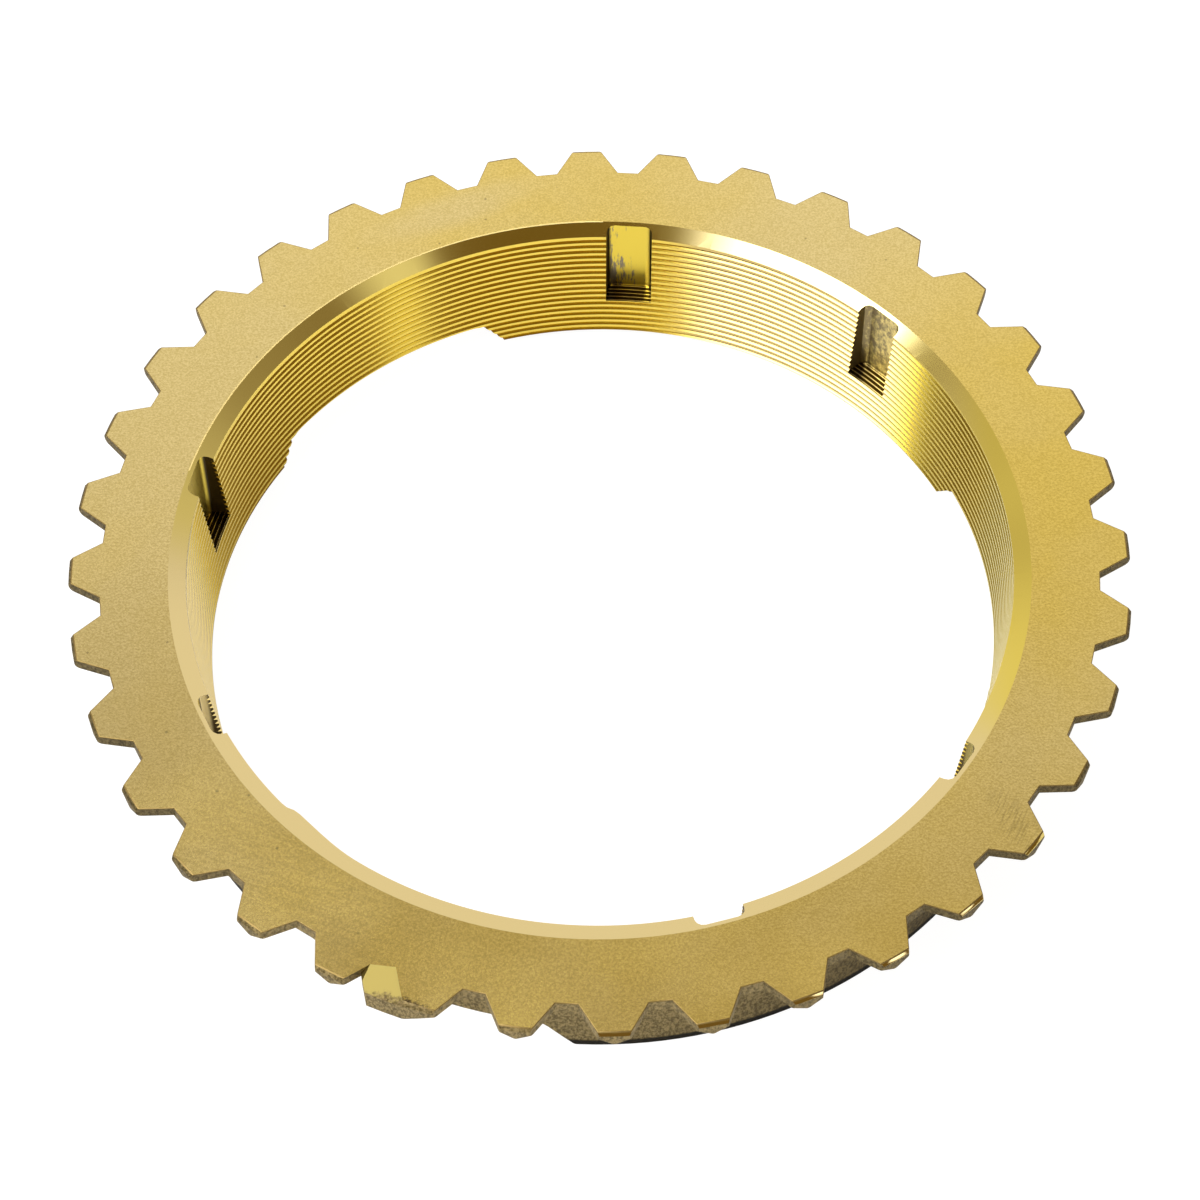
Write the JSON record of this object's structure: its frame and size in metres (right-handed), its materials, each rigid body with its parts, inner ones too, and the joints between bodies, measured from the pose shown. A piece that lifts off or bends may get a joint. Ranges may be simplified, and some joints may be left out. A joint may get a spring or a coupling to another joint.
{
  "type": "synchronizer ring",
  "caption": "Brass blocker ring for a manual gearbox, with pointed dog teeth, a friction cone bore, oil slots and key notches.",
  "frame": {"origin": "centre of the ring, on the plane of the rim that faces the hub, which it rests on", "axes": "+Z along the axis of the ring, from the hub side to the flat gear side; -Y towards the picture's camera"},
  "size_m": [0.074, 0.074, 0.0115],
  "materials": {
    "brass": "satin machined faces, as-forged grey-brown tooth spaces and outer wall"
  },
  "bodies": {
    "root": {"synchronizer_ring": "brass"}
  },
  "joints": []
}
